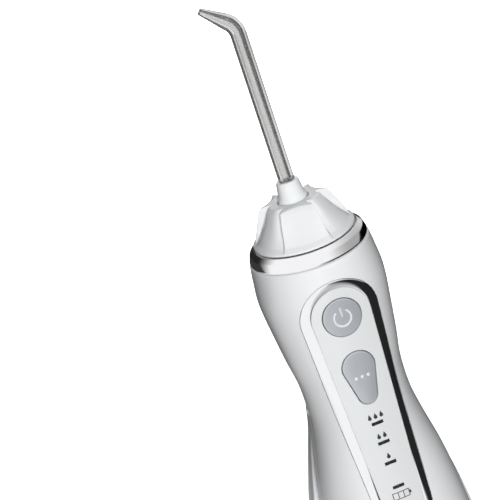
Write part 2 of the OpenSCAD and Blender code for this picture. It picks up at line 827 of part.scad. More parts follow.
module piston_yoke() {
    window_y = crank_throw + 1.24 + 0.35;
    window_z = 2 * crank_throw + 1.24 + 0.3;
    rod_low = gear_z + window_z + 1;
    color("whitesmoke")
        union() {
            translate([2, pump_y, gear_z])
                along_x()
                    linear_extrude(2.2)
                        difference() {
                            square([2 * window_y + 4, 2 * window_z + 3.6], center = true);
                            square([2 * window_y, 2 * window_z], center = true);
                        }
            translate([pump_x, pump_y, rod_low - 0.2]) cylinder(r = 1.1, h = 9, $fn = 32);
            translate([pump_x, pump_y, 128]) cylinder(r = 1.6, h = 5, $fn = 32);
            difference() {
                translate([pump_x, pump_y, 132]) cylinder(r = piston_r - 0.2, h = 5);
                translate([pump_x, pump_y, 0]) ring_solid(piston_r - 1.7, piston_r + 1, 133.6, 135.4);
            }
        }
}

module piston_seal() { color("black") translate([pump_x, pump_y, 0]) oring(piston_r - 0.84, 0.8, 134.5); }

module neck_outline(grow) { offset(r = 5 + grow) square([24 - 10, 18 - 10], center = true); }

module hinge_lugs(grow) {
    for (s = [-1, 1])
        translate([s * 7.9 - 1.2 - grow, hinge_y - 1.8 - grow, -1.6 - grow])
            cube([2.4 + 2 * grow, 4.2 + 2 * grow, hinge_out + 1.6 + grow]);
}

module reservoir_tank() {
    color("white")
        difference() {
            loft([for (z = heights(tank_low, tank_top)) tank_ring(z, 0)]);
            loft([for (z = heights(tank_low + tank_wall, tank_top - tank_wall)) tank_ring(z, tank_wall)]);
            on_door() translate([0, 0, -12]) linear_extrude(30) neck_outline(1.95);
            on_door() hinge_lugs(0.05);
            translate([inlet_x, 0, port_z]) along_y() cylinder(r = 4.5, h = 12.2, $fn = 48);
        }
}

module fill_neck() {
    color("white")
        on_door() {
            difference() {
                translate([0, 0, -7]) linear_extrude(7.8) neck_outline(1.9);
                translate([0, 0, -9]) linear_extrude(12) neck_outline(0);
            }
            difference() {
                union() {
                    hinge_lugs(0);
                    for (s = [-1, 1])
                        translate([s * 7.9 - 1.2, hinge_y, hinge_out])
                            rotate([0, 90, 0]) cylinder(r = 1.8, h = 2.4, $fn = 32);
                }
                for (s = [-1, 1])
                    translate([s * 7.9 - 2, hinge_y, hinge_out])
                        rotate([0, 90, 0]) cylinder(r = 1, h = 4, $fn = 32);
            }
        }
}

module port_seal() {
    color("darkgray")
        translate([inlet_x, 0, port_z])
            along_y()
                difference() {
                    union() {
                        translate([0, 0, tank_front_y + 0.05]) cylinder(r = 4.4, h = 5.4);
                        translate([0, 0, tank_front_y + 2.36]) cylinder(r = 5.2, h = 1.44);
                    }
                    translate([0, 0, 5]) cylinder(r = 3.06, h = 8.6, $fn = 48);
                    translate([0, 0, 5]) cylinder(r = 1.4, h = 12, $fn = 32);
                }
}

module intake_tube() {
    top = [inlet_x, 14.6, port_z];
    route = [
        top, [inlet_x, 16.4, 131.2], [inlet_x, 17.4, 128.4], [inlet_x, 17.4, 120], [inlet_x, 17, 90],
        [inlet_x, 17, 50], [inlet_x, 17, 20], [inlet_x, 17, 12]
    ];
    color("lightcyan") sweep(route, 2, 10);
}

module intake_filter() {
    color("gray")
        translate([inlet_x, 17, tank_low + tank_wall + 0.6])
            difference() {
                cylinder(r = 4.4, h = 8);
                for (k = [0 : 3])
                    rotate([0, 0, 45 * k]) translate([-6, -0.6, -1]) cube([12, 1.2, 2.6]);
            }
}

module reservoir_feet() {
    color("dimgray")
        for (x = [-18.5, 18.5], y = [17, 41])
            translate([x, y, 0]) cylinder(r = 4, h = tank_low - 0.02);
}

module door_hinge_pin() {
    color("silver")
        on_door() translate([-9.1, hinge_y, hinge_out]) rotate([0, 90, 0]) cylinder(r = 1, h = 18.2, $fn = 32);
}

module fill_door() {
    color("white")
        on_door()
            difference() {
                union() {
                    translate([0, 0.2, 1.1]) linear_extrude(1.3) neck_outline(1.6);
                    translate([0, 0.2, 2.3]) linear_extrude(0.7) neck_outline(0.7);
                    translate([-6.3, hinge_y, 1.6]) cube([12.6, 5, 1.4]);
                    translate([-6.3, hinge_y, hinge_out])
                        rotate([0, 90, 0]) cylinder(r = 1.8, h = 12.6, $fn = 48);
                    translate([-5, 10, 1.1]) cube([10, 2.6, 1.3]);
                }
                translate([-8, hinge_y, hinge_out]) rotate([0, 90, 0]) cylinder(r = 1.05, h = 16, $fn = 32);
            }
}

module door_gasket() {
    color("lightgray")
        on_door()
            translate([0, 0.2, -1])
                difference() {
                    linear_extrude(2.1) neck_outline(-0.8);
                    translate([0, 0, -1]) linear_extrude(4) neck_outline(-2.4);
                }
}

front_shell();
rear_shell();
chrome_ring();
panel_bezel();
control_panel();
keypad_membrane();
circuit_board();
tact_switches();
indicator_lights();
battery_cells();
battery_leads();
chassis();
motor_can();
gear_axle();
pump_cylinder();
pump_head();
inlet_valve();
outlet_valve();
suction_tube();
outlet_hose();
nozzle_seat();
port_spigot();
charge_port();
charging_contacts();
housing_screws();
base_cap();
foot_pad();
rotator_knob();
knob_rotor();
rotor_oring();
tip_ferrule();
tip_shank();
tip_oring();
power_button();
mode_button();
eject_button();
eject_spring();
motor_shaft();
motor_pinion();
drive_gear();
crank_pin();
piston_yoke();
piston_seal();
reservoir_tank();
fill_neck();
port_seal();
intake_tube();
intake_filter();
reservoir_feet();
door_hinge_pin();
fill_door();
door_gasket();
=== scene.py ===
import json
import math

import bmesh
import bpy
from mathutils import Matrix, Vector


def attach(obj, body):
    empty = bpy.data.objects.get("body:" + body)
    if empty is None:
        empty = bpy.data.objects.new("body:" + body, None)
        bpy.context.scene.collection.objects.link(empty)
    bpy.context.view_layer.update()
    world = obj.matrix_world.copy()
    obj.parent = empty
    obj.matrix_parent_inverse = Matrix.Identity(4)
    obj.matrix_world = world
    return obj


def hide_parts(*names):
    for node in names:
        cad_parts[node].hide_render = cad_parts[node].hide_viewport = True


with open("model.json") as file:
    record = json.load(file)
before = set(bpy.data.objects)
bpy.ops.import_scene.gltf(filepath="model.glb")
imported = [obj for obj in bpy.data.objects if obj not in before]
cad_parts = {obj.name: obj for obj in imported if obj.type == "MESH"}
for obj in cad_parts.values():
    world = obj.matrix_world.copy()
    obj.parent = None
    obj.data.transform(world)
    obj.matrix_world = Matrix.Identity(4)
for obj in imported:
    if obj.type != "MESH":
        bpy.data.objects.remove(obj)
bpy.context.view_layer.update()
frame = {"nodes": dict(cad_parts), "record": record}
MM = 0.001

# ---------------------------------------------------------------- dimensions, in millimetres
HANDLE_H = 207
NECK_R = 21.2
WALL = 2.2
SHELL_LOW, SHELL_TOP = 3, HANDLE_H - 0.8
SHELF_Z = 145.2
BACK_WALL = 8
TANK_FRONT = BACK_WALL + 0.4
TANK_CORNER = 2.5
TANK_LOW, TANK_TOP, TANK_WALL = 0.8, 144.8, 2
HALF_WIDTH = [
    (0, 29.5), (47, 28.6), (77, 27.6), (97, 26.3), (112, 24.6), (121.5, 23.1), (132, 20.9),
    (143, 19.0), (151, 18.6), (159, 18.9), (168, 20.3), (178, 21.5), (188, 22.6), (193.5, 22.8),
    (199, 22.3), (203.5, 21.8), (HANDLE_H, NECK_R),
]
FRONT_REACH = [
    (0, 29), (47, 28), (77, 26.6), (97, 25.2), (117, 23.8), (137, 22.6), (157, 22), (177, 22.4),
    (194, 22.8), (203, 21.9), (HANDLE_H, NECK_R),
]
BACK_REACH = [
    (145, 19.6), (152, 19.4), (160, 19.5), (172, 20.5), (184, 22), (193.5, 22.8), (200, 22.2),
    (HANDLE_H, NECK_R),
]
TANK_WIDTH = [
    (0, 31.6), (30, 32), (77, 30.8), (92, 29.2), (102, 27.6), (112, 25.2), (125, 21.9), (136, 19),
    (145, 17.4),
]
TANK_DEPTH = [
    (0, 57), (17, 59.5), (47, 59), (67, 56), (87, 51), (102, 45), (117, 36), (132, 26), (145, 19.2),
]
PANEL_Y, PANEL_Z, PANEL_LEAN = -21.3, 186.2, math.radians(1.7)
PANEL_LEN, PANEL_START, PANEL_CURVE = 75.5, -0.1, 40
BEZEL_R, INNER_R = (14.2, 10.4), (10.6, 7.3)
POWER_R = 6.8
KEY_GAP = 0.3
MODE_TOP, MODE_LOW, MODE_R = -19.2, -30.1, (5.8, 3.4)
LIGHT_ROWS = (-41.4, -49.2, -57.4, -67.1)
SLOT_SIZE = (4.28, 1.28)
SYMBOL_R = 3.0
DROP_H, DROP_PITCH, DROP_RISE = 2.3, 2.15, 2.75
RING_LOW, RING_TOP = HANDLE_H - 0.6, HANDLE_H + 4.1
KNOB_LOW = RING_TOP + 0.3
KNOB_TOP = RING_TOP + 13.8
FERRULE_TOP = HANDLE_H + 24.8
FIN_PHASE, GRIP_TURN = 51, 120
TIP_R, BORE_R, BEND_R = 2.8, 1.25, 7
JET_R, JET_BORE_R = 1.2, 0.5
HOOK_START, HOOK_ANGLE, HOOK_LEN = HANDLE_H + 78, 49.5, 9.8
DOOR_AT, DOOR_TILT = (0, 41, 110), -58
HINGE_Y, HINGE_OUT = -13.2, 2.6
LUG_X, LUG_W = 7.9, 2.4
PORT_AT = (-9, 132)
EJECT_Z = 194
EYE_AZ, EYE_EL, EYE_ROLL, EYE_FAR = -8.9, 21.319, -18.285, 600
EYE_LENS, EYE_OFF = 125.35, (0.0333, 0.0032)


# ---------------------------------------------------------------- shape functions
def smooth(table, z):
    """Value of an outline table at height z, on a smooth curve through its points."""
    last = len(table) - 1
    i = 0
    while i < last - 1 and z >= table[i + 1][0]:
        i += 1

    def slope(k):
        a, b = max(k - 1, 0), min(k + 1, last)
        return (table[b][1] - table[a][1]) / (table[b][0] - table[a][0])

    span = table[i + 1][0] - table[i][0]
    u = min(1, max(0, (z - table[i][0]) / span))
    return (
        table[i][1] * (2 * u**3 - 3 * u * u + 1)
        + slope(i) * span * (u**3 - 2 * u * u + u)
        + table[i + 1][1] * (3 * u * u - 2 * u**3)
        + slope(i + 1) * span * (u**3 - u * u)
    )


def signed_power(v, n):
    return math.copysign(abs(v) ** (2 / n), v)


def oval(angle, half, front, back, n_front, n_back, centre_y=0):
    a = math.radians(angle)
    n, reach = (n_front, front) if angle > 180 else (n_back, back)
    return half * signed_power(math.cos(a), n), centre_y + reach * signed_power(math.sin(a), n)


def fullness(z):
    return 2 + 0.4 * min(1, max(0, (150 - z) / 80))


def handle_point(angle, z, inset=0):
    return oval(
        angle, smooth(HALF_WIDTH, z) - inset, smooth(FRONT_REACH, z) - inset,
        smooth(BACK_REACH, z) - inset, fullness(z), 2,
    )


def lower_point(angle, z, inset=0):
    return oval(
        angle, smooth(HALF_WIDTH, z) - inset, smooth(FRONT_REACH, z) - inset,
        BACK_WALL - inset, fullness(z), 7,
    )


def tank_point(angle, z, inset=0):
    depth = smooth(TANK_DEPTH, z) - TANK_FRONT - TANK_CORNER
    shift = inset if angle > 180 else 0
    return oval(
        angle, smooth(TANK_WIDTH, z) - inset, TANK_CORNER, depth - inset, 4, 2.3,
        TANK_FRONT + TANK_CORNER + shift,
    )


def front_at(x, z):
    n = fullness(z)
    part = min(1, abs(x) / smooth(HALF_WIDTH, z))
    return smooth(FRONT_REACH, z) * (1 - part**n) ** (1 / n)


def skin_out(x, y):
    """How far the housing stands out at a place on the panel, measured from the panel's face line."""
    return PANEL_Y + y * math.sin(PANEL_LEAN) + front_at(x, PANEL_Z + y)


def face_out(x):
    return math.sqrt(PANEL_CURVE**2 - x * x) - PANEL_CURVE


def spread(low, high, count):
    return [low + (high - low) * i / (count - 1) for i in range(count)]


PANEL_FRAME = Matrix.Translation((0, PANEL_Y, PANEL_Z)) @ Matrix.Rotation(
    math.radians(90) - PANEL_LEAN, 4, "X"
)
DOOR_FRAME = Matrix.Translation(DOOR_AT) @ Matrix.Rotation(math.radians(DOOR_TILT), 4, "X")


# ---------------------------------------------------------------- mesh helpers
def build(name, parts, place=None, sharp=32):
    """Makes one mesh object from (points, faces) parts given in millimetres."""
    points, faces = [], []
    for part_points, part_faces in parts:
        start = len(points)
        points += [tuple(p) for p in part_points]
        faces += [[start + i for i in f] for f in part_faces]
    mesh = bpy.data.meshes.new(name)
    mesh.from_pydata(points, [], faces)
    if place is not None:
        mesh.transform(place)
    mesh.transform(Matrix.Scale(MM, 4))
    tidy(mesh, sharp)
    obj = bpy.data.objects.new(name, mesh)
    bpy.context.scene.collection.objects.link(obj)
    return obj


def tidy(mesh, sharp):
    """Outward normals and smooth shading with crisp edges."""
    bm = bmesh.new()
    bm.from_mesh(mesh)
    bmesh.ops.remove_doubles(bm, verts=bm.verts, dist=1e-7)
    bmesh.ops.dissolve_degenerate(bm, edges=bm.edges, dist=1e-7)
    bmesh.ops.recalc_face_normals(bm, faces=bm.faces)
    bm.to_mesh(mesh)
    bm.free()
    mesh.shade_smooth()
    mesh.set_sharp_from_angle(angle=math.radians(sharp))


def settle(obj, sharp=32):
    """Bakes an object's modifiers into its mesh."""
    bpy.context.view_layer.update()
    graph = bpy.context.evaluated_depsgraph_get()
    mesh = bpy.data.meshes.new_from_object(obj.evaluated_get(graph))
    obj.modifiers.clear()
    obj.data = mesh
    tidy(mesh, sharp)
    return obj


def boolean(obj, tools, operation="DIFFERENCE", sharp=32):
    for tool in tools:
        step = obj.modifiers.new("cut", "BOOLEAN")
        step.operation = operation
        step.solver = "EXACT"
        step.object = tool
    settle(obj, sharp)
    for tool in tools:
        bpy.data.objects.remove(tool)
    return obj


def soften(obj, width, segments=2, angle=40, sharp=32):
    """Rounds the crisp edges of a piece."""
    step = obj.modifiers.new("round", "BEVEL")
    step.width = width * MM
    step.segments = segments
    step.limit_method = "ANGLE"
    step.angle_limit = math.radians(angle)
    step.harden_normals = False
    return settle(obj, sharp)


def skin(rings, closed_rows=False):
    """Faces between rings of equal length; closed_rows joins the last ring to the first."""
    n = len(rings[0])
    rows = len(rings) if closed_rows else len(rings) - 1
    faces = []
    for k in range(rows):
        a, b = k * n, ((k + 1) % len(rings)) * n
        faces += [[a + i, a + (i + 1) % n, b + (i + 1) % n, b + i] for i in range(n)]
    return [p for r in rings for p in r], faces


def loft(rings):
    points, faces = skin(rings)
    n, top = len(rings[0]), len(points) - len(rings[0])
    return points, faces + [list(range(n))[::-1], list(range(top, top + n))]


def band(rings):
    """Loft of open bands: each ring is an outer arc followed by the inner arc back."""
    points, faces = skin(rings)
    n, top = len(rings[0]), len(points) - len(rings[0])
    for i in range(n // 2 - 1):
        strip = [i, i + 1, n - 2 - i, n - 1 - i]
        faces += [strip[::-1], [top + k for k in strip]]
    return points, faces


def lathe(profile, steps=96):
    """Ring of revolution from a closed (radius, height) outline."""
    rings = []
    for k in range(steps):
        a = 2 * math.pi * k / steps
        rings.append([(r * math.cos(a), r * math.sin(a), z) for r, z in profile])
    return skin(rings, closed_rows=True)


def rounded(corners, segments=5):
    """Outline through (r, z, radius) corners, with each corner rounded."""
    out, n = [], len(corners)
    for i in range(n):
        p = Vector(corners[i][:2])
        before = Vector(corners[i - 1][:2]) - p
        after = Vector(corners[(i + 1) % n][:2]) - p
        radius = corners[i][2] if len(corners[i]) > 2 else 0
        if radius <= 0:
            out.append(tuple(p))
            continue
        half = before.angle(after) / 2
        reach = min(radius / math.tan(half), 0.48 * before.length, 0.48 * after.length)
        a, b = p + before.normalized() * reach, p + after.normalized() * reach
        for t in spread(0, 1, segments + 1):
            out.append(tuple(a * (1 - t) ** 2 + p * 2 * t * (1 - t) + b * t * t))
    return out


def turned(name, corners, place=None, steps=96, sharp=32):
    return build(name, [lathe(rounded(corners), steps)], place, sharp)


def lifted(outline, z):
    return [(x, y, z) for x, y in outline]


def slab(outline, levels):
    """Solid through one outline drawn at several (height, grow) levels."""
    return loft([lifted(outline(grow), z) for z, grow in levels])


def soft_levels(low, high, grow=0, edge=0.4, steps=4, both=False):
    """Levels of a slab whose upper edge, or both edges, are rounded."""
    arc = [(edge * math.sin(t), edge * (1 - math.cos(t))) for t in spread(0, math.pi / 2, steps + 1)]
    upper = [(high - edge + up, grow - inset) for up, inset in arc]
    lower = [(low + edge - up, grow - inset) for up, inset in reversed(arc)] if both else [(low, grow)]
    return lower + upper


def taper_point(stretch, f, r1, r2, top, span):
    lean = math.asin((r1 - r2) / span)
    if stretch == 0:
        a, down = -lean + (math.pi + 2 * lean) * f, 0
    elif stretch == 1:
        a, down = math.pi + lean, f
    elif stretch == 2:
        a, down = math.pi + lean + (math.pi - 2 * lean) * f, 1
    else:
        a, down = -lean, 1 - f
    r = r1 + (r2 - r1) * down
    return r * math.cos(a), top - span * down + r * math.sin(a)


def taper_outline(r1, r2, top, span, counts=(64, 24, 48, 24)):
    return [taper_point(s, i / n, r1, r2, top, span) for s, n in enumerate(counts) for i in range(n)]


def rect_outline(size_x, size_y, radius, arc=8):
    points = []
    for sx, sy, start in ((1, 1, 0), (-1, 1, 90), (-1, -1, 180), (1, -1, 270)):
        for t in spread(start, start + 90, arc + 1):
            a = math.radians(t)
            points.append((
                sx * (size_x / 2 - radius) + radius * math.cos(a),
                sy * (size_y / 2 - radius) + radius * math.sin(a),
            ))
    return points


def neck_outline(grow):
    return rect_outline(24 + 2 * grow, 18 + 2 * grow, 5 + grow)


# ---------------------------------------------------------------- materials
def colour(value):
    return (*value, 1) if len(value) == 3 else tuple(value)


def surface(name, base, rough, metal=0, coat=0, grain=0.0, grain_mm=0.4, tone=0.02, rough_var=0.05,
            sub=0, clear=0, ior=1.46, stretch=(1, 1, 1), wear=0.0, sheen=0):
    """Moulded or metal finish: soft tone changes, uneven gloss, fine grain and rubbed edges."""
    mat = bpy.data.materials.new(name)
    mat.use_nodes = True
    tree = mat.node_tree
    node, link = tree.nodes.new, tree.links.new
    shader = tree.nodes["Principled BSDF"]
    where = node("ShaderNodeTexCoord")
    place = node("ShaderNodeMapping")
    place.inputs["Scale"].default_value = stretch
    link(where.outputs["Object"], place.inputs["Vector"])

    cloud = node("ShaderNodeTexNoise")
    cloud.inputs["Scale"].default_value = 60
    cloud.inputs["Detail"].default_value = 4
    link(place.outputs["Vector"], cloud.inputs["Vector"])
    paint = node("ShaderNodeMix")
    paint.data_type = "RGBA"
    paint.inputs["A"].default_value = colour([c * (1 - tone) for c in base])
    paint.inputs["B"].default_value = colour([min(1, c * (1 + tone)) for c in base])
    link(cloud.outputs["Fac"], paint.inputs["Factor"])
    paint_out = paint.outputs["Result"]
    if wear:
        edge = node("ShaderNodeNewGeometry")
        ramp = node("ShaderNodeMapRange")
        ramp.inputs["From Min"].default_value = 0.52
        ramp.inputs["From Max"].default_value = 0.62
        ramp.inputs["To Max"].default_value = wear
        link(edge.outputs["Pointiness"], ramp.inputs["Value"])
        rub = node("ShaderNodeMix")
        rub.data_type = "RGBA"
        rub.inputs["B"].default_value = colour([min(1, c * 1.25 + 0.03) for c in base])
        link(ramp.outputs["Result"], rub.inputs["Factor"])
        link(paint_out, rub.inputs["A"])
        paint_out = rub.outputs["Result"]
    link(paint_out, shader.inputs["Base Color"])

    gloss = node("ShaderNodeTexNoise")
    gloss.inputs["Scale"].default_value = 220
    gloss.inputs["Detail"].default_value = 3
    link(place.outputs["Vector"], gloss.inputs["Vector"])
    span = node("ShaderNodeMapRange")
    span.inputs["To Min"].default_value = max(0.02, rough - rough_var)
    span.inputs["To Max"].default_value = rough + rough_var
    link(gloss.outputs["Fac"], span.inputs["Value"])
    link(span.outputs["Result"], shader.inputs["Roughness"])

    if grain:
        fine = node("ShaderNodeTexNoise")
        fine.inputs["Scale"].default_value = 1 / (grain_mm * MM)
        fine.inputs["Detail"].default_value = 2
        link(place.outputs["Vector"], fine.inputs["Vector"])
        bump = node("ShaderNodeBump")
        bump.inputs["Strength"].default_value = grain
        bump.inputs["Distance"].default_value = 0.02 * MM
        link(fine.outputs["Fac"], bump.inputs["Height"])
        link(bump.outputs["Normal"], shader.inputs["Normal"])

    shader.inputs["Metallic"].default_value = metal
    shader.inputs["Coat Weight"].default_value = coat
    shader.inputs["Coat Roughness"].default_value = 0.06
    shader.inputs["IOR"].default_value = ior
    shader.inputs["Subsurface Weight"].default_value = sub
    shader.inputs["Subsurface Scale"].default_value = 0.002
    shader.inputs["Transmission Weight"].default_value = clear
    shader.inputs["Sheen Weight"].default_value = sheen
    return mat


def brushed(name, base, rough, axis_stretch):
    return surface(name, base, rough, metal=1, grain=0.25, grain_mm=0.15, stretch=axis_stretch)


FINISH = {
    "white_gloss": surface("white_gloss", (0.8, 0.81, 0.82), 0.24, coat=0.35, grain=0.05, grain_mm=0.5,
                           tone=0.012, wear=0.1),
    "panel_gloss": surface("panel_gloss", (0.71, 0.725, 0.73), 0.12, coat=0.5, grain=0.02, tone=0.008,
                           rough_var=0.03),
    "tank_white": surface("tank_white", (0.78, 0.8, 0.82), 0.2, coat=0.3, grain=0.04, sub=0.15, wear=0.08),
    "chrome_trim": surface("chrome_trim", (0.86, 0.86, 0.87), 0.07, metal=1, grain=0.02, grain_mm=0.8,
                           rough_var=0.03, tone=0.02),
    "key_silver": surface("key_silver", (0.53, 0.55, 0.58), 0.36, metal=0.45, grain=0.16, grain_mm=0.12,
                          tone=0.05, wear=0.12),
    "key_grey": surface("key_grey", (0.5, 0.55, 0.6), 0.38, grain=0.15, grain_mm=0.15, wear=0.1),
    "mark_black": surface("mark_black", (0.012, 0.012, 0.014), 0.2, coat=0.3, grain=0.05),
    "ferrule_white": surface("ferrule_white", (0.82, 0.83, 0.84), 0.34, grain=0.08, sub=0.1, wear=0.06),
    "tip_clear": surface("tip_clear", (0.77, 0.77, 0.765), 0.07, clear=0.92, ior=1.49, grain=0.06,
                         grain_mm=1.2, stretch=(1, 1, 0.15), rough_var=0.03),
    "inner_white": surface("inner_white", (0.74, 0.75, 0.75), 0.42, grain=0.2, grain_mm=0.2),
    "hose_clear": surface("hose_clear", (0.75, 0.8, 0.83), 0.25, clear=0.6, ior=1.41, grain=0.05),
    "seal_black": surface("seal_black", (0.025, 0.025, 0.026), 0.62, grain=0.35, grain_mm=0.25, sheen=0.1),
    "seal_grey": surface("seal_grey", (0.5, 0.53, 0.55), 0.55, grain=0.2, grain_mm=0.3, sheen=0.15),
    "valve_orange": surface("valve_orange", (0.8, 0.27, 0.05), 0.5, grain=0.15, sheen=0.1),
    "pin_steel": brushed("pin_steel", (0.6, 0.6, 0.61), 0.25, (1, 6, 6)),
    "motor_steel": brushed("motor_steel", (0.56, 0.57, 0.58), 0.3, (8, 1, 1)),
    "pinion_brass": brushed("pinion_brass", (0.75, 0.56, 0.25), 0.28, (1, 5, 5)),
    "contact_gold": brushed("contact_gold", (0.85, 0.63, 0.3), 0.22, (4, 4, 1)),
    "port_grey": surface("port_grey", (0.2, 0.21, 0.22), 0.42, grain=0.25, grain_mm=0.2, wear=0.1),
    "board_green": surface("board_green", (0.02, 0.16, 0.07), 0.3, coat=0.3, grain=0.2, grain_mm=0.6),
    "switch_black": surface("switch_black", (0.03, 0.03, 0.03), 0.4, grain=0.2),
    "cell_wrap": surface("cell_wrap", (0.06, 0.2, 0.36), 0.3, coat=0.2, grain=0.1, wear=0.1),
    "lead_red": surface("lead_red", (0.5, 0.02, 0.015), 0.4, grain=0.1),
}
INK = surface("ink_dark", (0.035, 0.036, 0.04), 0.35, grain=0.05)
# lighter copy of the key silver for the raised marks: a painted highlight for the light their embossed edges
# catch
RAISED_HIGHLIGHT = surface("raised_painted_highlight", (0.8, 0.82, 0.84), 0.3, metal=0.2, grain=0.08, grain_mm=0.15)


def dress(obj, slot, body, *replaced):
    obj.data.materials.clear()
    obj.data.materials.append(FINISH[slot])
    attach(obj, body)
    if replaced:
        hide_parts(*replaced)
    return obj


# ---------------------------------------------------------------- camera, light and floor
def add_camera():
    az, el, roll = (math.radians(v) for v in (EYE_AZ, EYE_EL, EYE_ROLL))
    back = Vector((math.sin(az) * math.cos(el), -math.cos(az) * math.cos(el), math.sin(el)))
    level = Vector((0, 0, 1)).cross(back).normalized()
    upright = back.cross(level)
    right = math.cos(roll) * level + math.sin(roll) * upright
    up = -math.sin(roll) * level + math.cos(roll) * upright
    aim = (back + EYE_OFF[0] * right + EYE_OFF[1] * up).normalized()
    side = up.cross(aim).normalized()
    top = aim.cross(side)
    data = bpy.data.cameras.new("camera")
    data.lens = EYE_LENS
    data.sensor_width = 36
    data.clip_start = 0.01
    camera = bpy.data.objects.new("camera", data)
    bpy.context.scene.collection.objects.link(camera)
    eye = (Vector((0, 0, HANDLE_H)) + EYE_FAR * back) * MM
    turn = Matrix((side, top, aim)).transposed().to_4x4()
    camera.matrix_world = Matrix.Translation(eye) @ turn
    bpy.context.scene.camera = camera


def add_light(name, at, target, size, watts):
    """Soft box that lights surfaces but isn't seen, in the picture or in reflections."""
    data = bpy.data.lights.new(name, "AREA")
    data.shape = "RECTANGLE"
    data.size, data.size_y = size
    data.energy = watts
    lamp = bpy.data.objects.new(name, data)
    bpy.context.scene.collection.objects.link(lamp)
    lamp.location = at
    lamp.rotation_euler = (Vector(target) - Vector(at)).to_track_quat("-Z", "Y").to_euler()
    lamp.visible_camera = False
    lamp.visible_glossy = False


class Studio:
    """Node helpers shared by the backdrop and the floor."""

    def __init__(self, tree):
        self.tree = tree
        self.path = tree.nodes.new("ShaderNodeLightPath")

    def plug(self, value, socket):
        if isinstance(value, (int, float)):
            socket.default_value = value
        else:
            self.tree.links.new(value, socket)

    def math(self, operation, a, b=0.0):
        step = self.tree.nodes.new("ShaderNodeMath")
        step.operation = operation
        self.plug(a, step.inputs[0])
        self.plug(b, step.inputs[1])
        return step.outputs[0]

    def ramp(self, source, low, high, to_low, to_high):
        step = self.tree.nodes.new("ShaderNodeMapRange")
        step.interpolation_type = "SMOOTHSTEP"
        for key, value in zip(("From Min", "From Max", "To Min", "To Max"), (low, high, to_low, to_high)):
            step.inputs[key].default_value = value
        self.plug(source, step.inputs["Value"])
        return step.outputs["Result"]

    def by_ray(self, diffuse, gloss, through, seen):
        """One value for each kind of ray: soft light, reflections, clear plastic, and the eye."""
        value = diffuse
        flags = ("Is Glossy Ray", "Is Transmission Ray", "Is Camera Ray")
        for flag, other in zip(flags, (gloss, through, seen)):
            mix = self.tree.nodes.new("ShaderNodeMix")
            self.plug(self.path.outputs[flag], mix.inputs[0])
            self.plug(value, mix.inputs[2])
            self.plug(other, mix.inputs[3])
            value = mix.outputs[0]
        return value

    def edges(self, x):
        """What clear plastic shows: bright straight behind, darker off to the sides."""
        return self.math("MULTIPLY", self.ramp(x, 0.22, 0.42, 1, 0.03), self.ramp(x, -0.85, -0.3, 0.3, 1))

    def axes(self, source):
        """The x and y parts of a direction or place."""
        split = self.tree.nodes.new("ShaderNodeSeparateXYZ")
        self.tree.links.new(source, split.inputs[0])
        return split.outputs[:2]


def add_world():
    """White to the eye; in light and reflections bright in front and dark behind, as in a light tent."""
    world = bpy.data.worlds.new("studio")
    bpy.context.scene.world = world
    world.use_nodes = True
    tree = world.node_tree
    studio = Studio(tree)
    x, y = studio.axes(tree.nodes.new("ShaderNodeTexCoord").outputs["Generated"])
    # soft light is strongest in front and falls off to both sides
    sides = studio.ramp(studio.math("ABSOLUTE", x), 0.3, 0.85, 1, 0.3)
    soft = studio.math("MULTIPLY", studio.ramp(y, -0.6, 0.2, 0.08, 0.04), sides)
    # reflections go dark behind, later on the right than on the left
    turn = studio.math("SUBTRACT", y, studio.math("MULTIPLY", x, 0.4))
    behind, side = studio.ramp(turn, 0.45, 0.95, 1.05, 0.02), studio.ramp(x, 0.25, 1, 1, 0.42)
    gloss = studio.math("MULTIPLY", behind, side)
    through = studio.edges(x)
    lit = tree.nodes["Background"]
    studio.plug(studio.by_ray(soft, gloss, through, 1.0), lit.inputs["Strength"])
    lit.inputs["Color"].default_value = (1, 1, 1, 1)


def add_floor():
    reach = 8.0
    mesh = bpy.data.meshes.new("floor")
    mesh.from_pydata(
        [(-reach, -reach, 0), (reach, -reach, 0), (reach, reach, 0), (-reach, reach, 0)], [], [(0, 1, 2, 3)]
    )
    floor = bpy.data.objects.new("floor", mesh)
    bpy.context.scene.collection.objects.link(floor)
    mat = bpy.data.materials.new("floor_pale")
    mat.use_nodes = True
    tree = mat.node_tree
    tree.nodes.clear()
    node, link = tree.nodes.new, tree.links.new
    studio = Studio(tree)
    place = node("ShaderNodeNewGeometry").outputs["Position"]
    x, y = studio.axes(place)
    far = node("ShaderNodeVectorMath")
    far.operation = "LENGTH"
    link(place, far.inputs[0])
    # in reflections the floor is bright in front on the left only
    across, along = studio.ramp(x, -0.06, 0.13, 1.05, 0.02), studio.ramp(y, 0.08, 0.35, 1, 0.04)
    gloss = studio.math("MULTIPLY", across, along)
    through = studio.edges(x)
    seen = studio.ramp(far.outputs["Value"], 0.25, 0.5, 0.6, 1)
    glow, bounce = node("ShaderNodeEmission"), node("ShaderNodeBsdfDiffuse")
    both = node("ShaderNodeAddShader")
    studio.plug(studio.by_ray(0.0, gloss, through, seen), glow.inputs["Strength"])
    tone = studio.by_ray(0.33, 0.0, 0.0, 0.85)
    link(tone, bounce.inputs["Color"])
    link(bounce.outputs[0], both.inputs[0])
    link(glow.outputs[0], both.inputs[1])
    link(both.outputs[0], node("ShaderNodeOutputMaterial").inputs["Surface"])
    mesh.materials.append(mat)


# ---------------------------------------------------------------- handle
def edge_angles(start, steps=72):
    """Angles across one half of the handle, with a close pair at each parting edge."""
    return [start] + spread(start + 1.2, start + 178.8, steps) + [start + 180]


def housing_ring(point, angles, outer_z, inner_z):
    last = len(angles) - 1
    outer = [(*point(a, outer_z, 0.22 if i in (0, last) else 0), outer_z) for i, a in enumerate(angles)]
    inner = [(*point(a, inner_z, WALL), inner_z) for a in reversed(angles)]
    return outer + inner


